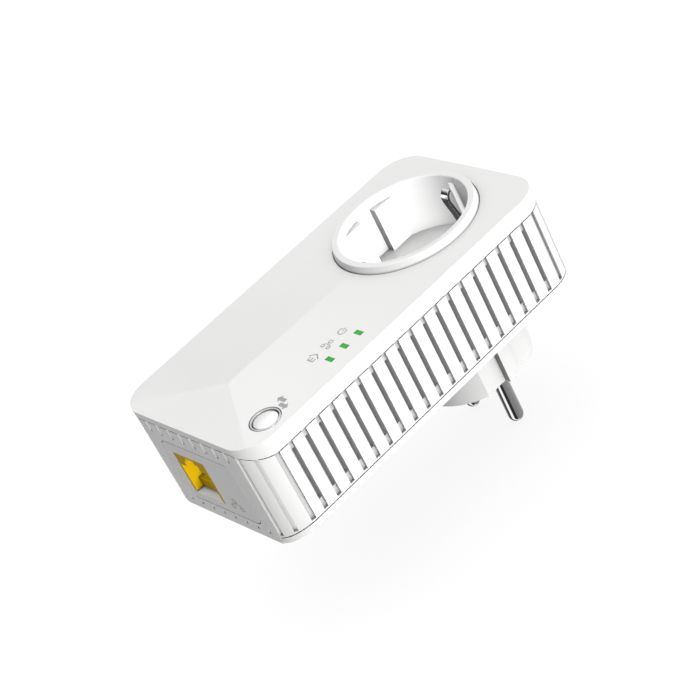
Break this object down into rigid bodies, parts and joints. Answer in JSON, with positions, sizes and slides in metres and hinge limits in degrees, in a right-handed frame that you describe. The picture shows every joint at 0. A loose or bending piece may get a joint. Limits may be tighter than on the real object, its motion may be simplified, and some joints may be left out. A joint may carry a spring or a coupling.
{
  "type": "powerline network adapter",
  "caption": "Pass-through mains plug adapter: round socket well on the front, plug with round pins behind, ribbed sides, Ethernet jack in the end, press button and small indicator windows.",
  "frame": {"origin": "middle of the plug face, between the two pins, on the plane that meets the socket floor", "axes": "+Z out of the wall towards the user, +Y from the Ethernet end towards the socket end, +X to the right seen from the front with the socket end up"},
  "size_m": [0.06, 0.1169, 0.0735],
  "materials": {
    "housing_white": "satin white moulded plastic",
    "panel_grey": "matt light grey moulded plastic",
    "inner_white": "matt off-white moulded plastic",
    "shutter_grey": "matt grey moulded plastic",
    "sheet": "matt translucent insulating film",
    "label": "matt printed film without text",
    "yellow": "satin yellow moulded plastic",
    "chrome": "bright nickel plate",
    "brass": "bright drawn brass",
    "gold": "gold plated spring metal",
    "steel": "zinc plated steel",
    "board": "green solder mask on glass-fibre board",
    "black_part": "black moulded component body",
    "aluminium": "satin extruded aluminium",
    "amber_part": "amber dipped component body",
    "blue_part": "blue dipped component body",
    "fuse_glass": "white ceramic tube",
    "wire_brown": "brown wire insulation",
    "wire_blue": "blue wire insulation",
    "button_silver": "glossy silver-white cap",
    "lens_green": "green translucent light guide",
    "led": "clear moulded diode body",
    "plunger_red": "red moulded plunger"
  },
  "bodies": {
    "housing": {"front_cover": "housing_white", "side_frame": "housing_white", "rear_cover": "housing_white", "rating_label": "label", "socket_well": "housing_white", "earth_bow": "chrome", "socket_sleeve_left": "brass", "socket_sleeve_right": "brass", "shutter_guide": "inner_white", "plug_body": "housing_white", "plug_pin_left": "chrome", "plug_pin_right": "chrome", "plug_earth_strip": "chrome", "bus_bar_live": "brass", "bus_bar_neutral": "brass", "earth_post": "brass", "port_panel": "panel_grey", "rj45_jack": "yellow", "power_board": "board", "front_board": "board", "header_connector": "black_part", "modem_chip": "black_part", "heat_sink": "aluminium", "mains_transformer": "black_part", "line_coupler": "amber_part", "bulk_capacitor": "black_part", "x_capacitor": "amber_part", "varistor": "blue_part", "fuse": "fuse_glass", "lan_magnetics": "black_part", "lead_live": "wire_brown", "lead_neutral": "wire_blue", "insulation_sheet_left": "sheet", "insulation_sheet_right": "sheet", "button_bezel": "chrome", "pair_switch": "black_part", "button_spring": "steel", "cover_screw_1": "steel", "cover_screw_2": "steel", "cover_screw_3": "steel", "cover_screw_4": "steel", "jack_contact_1": "gold", "jack_contact_2": "gold", "jack_contact_3": "gold", "jack_contact_4": "gold", "jack_contact_5": "gold", "jack_contact_6": "gold", "jack_contact_7": "gold", "jack_contact_8": "gold", "indicator_lens_power": "lens_green", "indicator_led_power": "led", "indicator_lens_network": "lens_green", "indicator_led_network": "led", "indicator_lens_home": "lens_green", "indicator_led_home": "led"},
    "button": {"pair_button": "button_silver"},
    "plunger": {"switch_plunger": "plunger_red"},
    "shutter": {"safety_shutter": "shutter_grey"}
  },
  "joints": [
    {"name": "pair_button_press", "type": "slide", "parent": "housing", "child": "button", "axis": [0, 0, -1], "range_m": [0, 0.0005], "stiffness_N_per_m": 600, "deforming": ["button_spring"]},
    {"name": "switch_plunger_press", "type": "slide", "parent": "housing", "child": "plunger", "axis": [0, 0, -1], "range_m": [0, 0.0005]},
    {"name": "shutter_slide", "type": "slide", "parent": "housing", "child": "shutter", "axis": [0, 1, 0], "range_m": [0, 0.0056]}
  ],
  "couplings": [
    {"joint": "switch_plunger_press", "follows": "pair_button_press", "ratio": 1}
  ]
}
